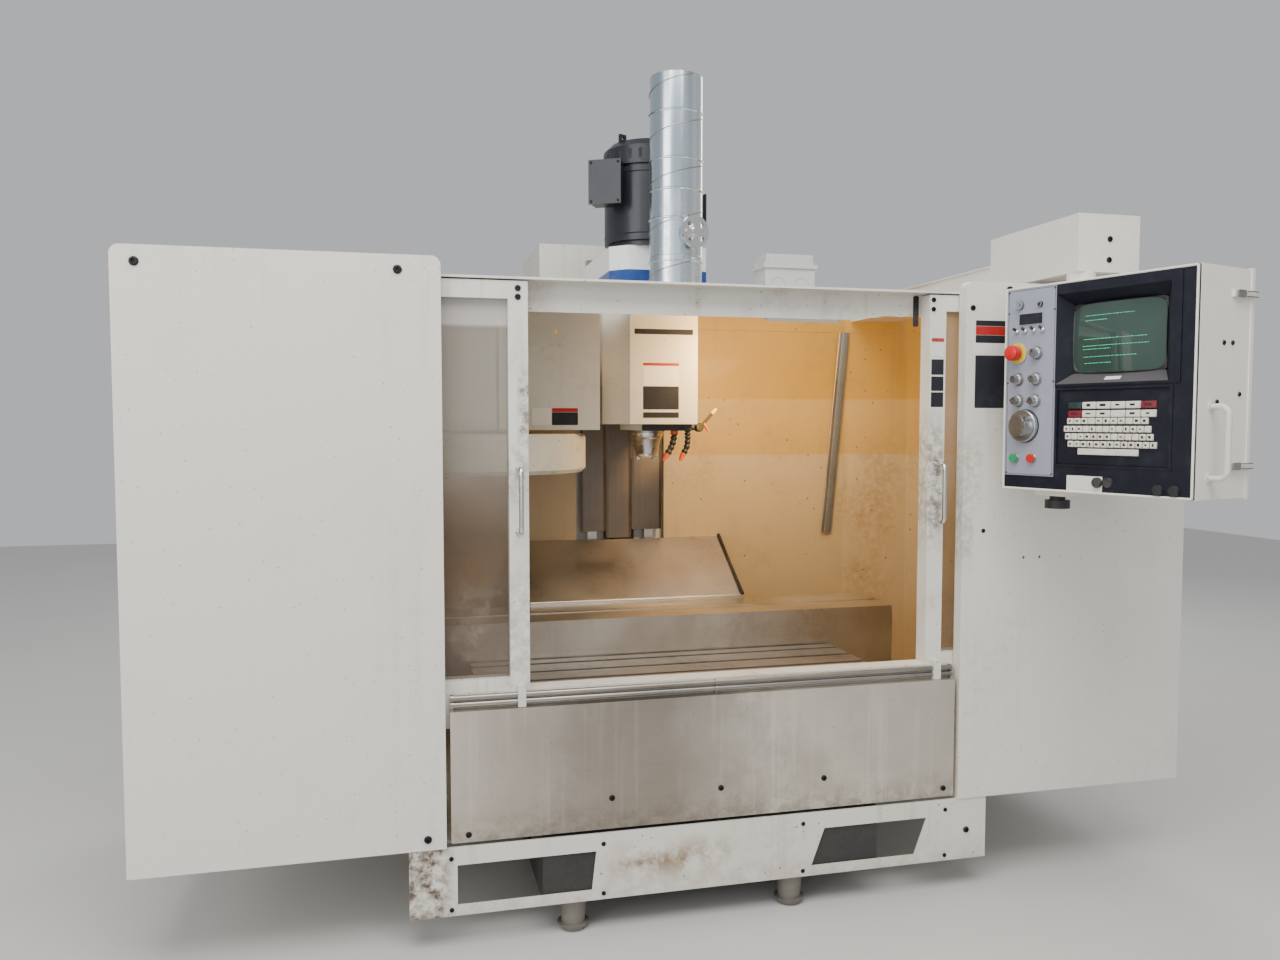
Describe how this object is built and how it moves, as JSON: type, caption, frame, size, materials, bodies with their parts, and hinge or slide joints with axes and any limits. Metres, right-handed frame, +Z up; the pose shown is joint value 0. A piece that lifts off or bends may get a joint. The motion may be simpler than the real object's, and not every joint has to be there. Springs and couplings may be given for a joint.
{
  "type": "cnc machining center",
  "caption": "Enclosed vertical machining centre with sliding doors, a moving table and spindle head, a tool carousel, a swivelling control pendant and an exhaust duct.",
  "frame": {"origin": "on the floor, under the middle of the machine's bounding box", "axes": "+X along the front to the right, +Y to the back, +Z up, square to the table's top"},
  "size_m": [2.9, 2.5204, 2.37],
  "materials": {
    "paint": "warm grey-beige enamel, scuffed and grimy",
    "white_paint": "white enamel with a blue band",
    "black_paint": "dark blue-black enamel",
    "navy_paint": "navy satin enamel",
    "stainless": "brushed and stained",
    "galvanised": "galvanised spiral duct",
    "iron": "oily machined casting",
    "ground_steel": "ground and polished",
    "aluminium": "cast",
    "plate_blue": "light grey-blue legend plate",
    "screen_glass": "green phosphor tube face",
    "clear_window": "clear, lightly scratched",
    "ivory_keys": "moulded key caps",
    "black_plastic": "moulded",
    "red_plastic": "moulded",
    "green_plastic": "moulded",
    "orange_plastic": "moulded"
  },
  "bodies": {
    "machine": {"base_casting": "iron", "column": "paint", "levelling_feet": "iron", "fixed_guide_rails": "ground_steel", "left_front_panel": "paint", "right_front_panel": "paint", "base_fascia": "paint", "splash_panel": "stainless", "door_guide_bars": "ground_steel", "front_frame": "paint", "side_panels": "paint", "inner_walls": "paint", "roof_panel": "paint", "exhaust_duct": "galvanised", "junction_box": "aluminium", "rear_apron": "stainless", "chip_pan": "paint", "electrical_cabinet": "paint", "changer_cover": "paint", "changer_housing": "paint", "control_arm": "paint", "arm_lid": "paint", "ball_screws": "ground_steel"},
    "damper": {"damper_dial": "aluminium"},
    "cabinet_door": {"cabinet_door": "paint"},
    "carousel": {"tool_carousel": "paint"},
    "head": {"head_casting": "paint", "head_cover": "paint", "belt_guard": "white_paint", "spindle_motor": "black_paint", "z_way_cover": "stainless", "coolant_hoses": "black_plastic"},
    "coolant_lever": {"coolant_lever": "orange_plastic"},
    "spindle": {"spindle": "ground_steel"},
    "saddle": {"saddle": "iron", "y_cover_front": "stainless"},
    "y_cover": {"y_cover_middle": "stainless"},
    "table": {"table": "iron"},
    "left_door": {"left_door_frame": "paint", "left_door_window": "clear_window", "left_door_handle": "ground_steel"},
    "right_door": {"right_door_frame": "paint", "right_door_window": "clear_window", "right_door_handle": "ground_steel"},
    "pendant": {"pendant_housing": "paint", "pendant_bezel": "navy_paint", "crt_screen": "screen_glass", "control_plate": "plate_blue", "keyboard": "ivory_keys", "pendant_handle": "paint"},
    "emergency_stop": {"emergency_stop": "red_plastic"},
    "start_button": {"start_button": "green_plastic"},
    "stop_button": {"stop_button": "red_plastic"},
    "jog_handwheel": {"jog_handwheel": "ground_steel"},
    "clamp_knob": {"clamp_knob": "black_plastic"},
    "selector_1": {"selector_knob_1": "ground_steel"},
    "selector_2": {"selector_knob_2": "ground_steel"},
    "selector_3": {"selector_knob_3": "ground_steel"},
    "selector_4": {"selector_knob_4": "ground_steel"},
    "selector_5": {"selector_knob_5": "ground_steel"}
  },
  "joints": [
    {"name": "left_door_slide", "type": "slide", "parent": "machine", "child": "left_door", "axis": [1, 0, 0], "range_m": [-0.15, 0.497]},
    {"name": "right_door_slide", "type": "slide", "parent": "machine", "child": "right_door", "axis": [1, 0, 0], "range_m": [-0.627, 0.02]},
    {"name": "y_axis", "type": "slide", "parent": "machine", "child": "saddle", "axis": [0, 1, 0], "range_m": [0, 0.4]},
    {"name": "y_cover_slide", "type": "slide", "parent": "machine", "child": "y_cover", "axis": [0, 1, 0], "range_m": [0, 0.26]},
    {"name": "x_axis", "type": "slide", "parent": "saddle", "child": "table", "axis": [1, 0, 0], "range_m": [-0.508, 0.508]},
    {"name": "z_axis", "type": "slide", "parent": "machine", "child": "head", "axis": [0, 0, 1], "range_m": [-0.42, 0]},
    {"name": "spindle_turn", "type": "hinge", "parent": "head", "child": "spindle", "pos_m": [0, 0.16017, 1.33], "axis": [0, 0, 1], "continuous": true},
    {"name": "carousel_turn", "type": "hinge", "parent": "machine", "child": "carousel", "pos_m": [-0.56, 0.08017, 1.24], "axis": [0, 0, 1], "continuous": true},
    {"name": "pendant_swivel", "type": "hinge", "parent": "machine", "child": "pendant", "pos_m": [0.975, -0.77483, 1.74], "axis": [0, 0, 1], "range_deg": [-20, 60]},
    {"name": "cabinet_door_hinge", "type": "hinge", "parent": "machine", "child": "cabinet_door", "pos_m": [1.437, 1.25017, 1], "axis": [0, 0, -1], "range_deg": [0, 110]},
    {"name": "damper_turn", "type": "hinge", "parent": "machine", "child": "damper", "pos_m": [0.01, -0.16983, 1.9], "axis": [0.342, -0.9397, 0], "range_deg": [0, 90]},
    {"name": "coolant_valve_turn", "type": "hinge", "parent": "head", "child": "coolant_lever", "pos_m": [0.15, 0.03117, 1.319], "axis": [0, 1, 0], "range_deg": [0, 90]},
    {"name": "emergency_stop_press", "type": "slide", "parent": "pendant", "child": "emergency_stop", "axis": [0.9548, 0.2974, 0], "range_m": [0, 0.006], "stiffness_N_per_m": 600},
    {"name": "start_button_press", "type": "slide", "parent": "pendant", "child": "start_button", "axis": [0.9548, 0.2974, 0], "range_m": [0, 0.004], "stiffness_N_per_m": 600},
    {"name": "stop_button_press", "type": "slide", "parent": "pendant", "child": "stop_button", "axis": [0.9548, 0.2974, 0], "range_m": [0, 0.004], "stiffness_N_per_m": 600},
    {"name": "handwheel_turn", "type": "hinge", "parent": "pendant", "child": "jog_handwheel", "pos_m": [0.79927, -0.79363, 1.325], "axis": [-0.9548, -0.2974, 0], "continuous": true},
    {"name": "selector_1_turn", "type": "hinge", "parent": "pendant", "child": "selector_1", "pos_m": [0.80968, -0.82705, 1.516], "axis": [-0.9548, -0.2974, 0], "range_deg": [-60, 60]},
    {"name": "selector_2_turn", "type": "hinge", "parent": "pendant", "child": "selector_2", "pos_m": [0.79243, -0.77167, 1.449], "axis": [-0.9548, -0.2974, 0], "range_deg": [-60, 60]},
    {"name": "selector_3_turn", "type": "hinge", "parent": "pendant", "child": "selector_3", "pos_m": [0.80938, -0.8261, 1.448], "axis": [-0.9548, -0.2974, 0], "range_deg": [-60, 60]},
    {"name": "selector_4_turn", "type": "hinge", "parent": "pendant", "child": "selector_4", "pos_m": [0.79302, -0.77358, 1.392], "axis": [-0.9548, -0.2974, 0], "range_deg": [-60, 60]},
    {"name": "selector_5_turn", "type": "hinge", "parent": "pendant", "child": "selector_5", "pos_m": [0.80878, -0.82419, 1.391], "axis": [-0.9548, -0.2974, 0], "range_deg": [-60, 60]},
    {"name": "clamp_knob_turn", "type": "hinge", "parent": "pendant", "child": "clamp_knob", "pos_m": [0.90038, -0.7988, 1.125], "axis": [0, 0, 1], "continuous": true}
  ],
  "couplings": [
    {"joint": "y_cover_slide", "follows": "y_axis", "ratio": 0.65}
  ]
}
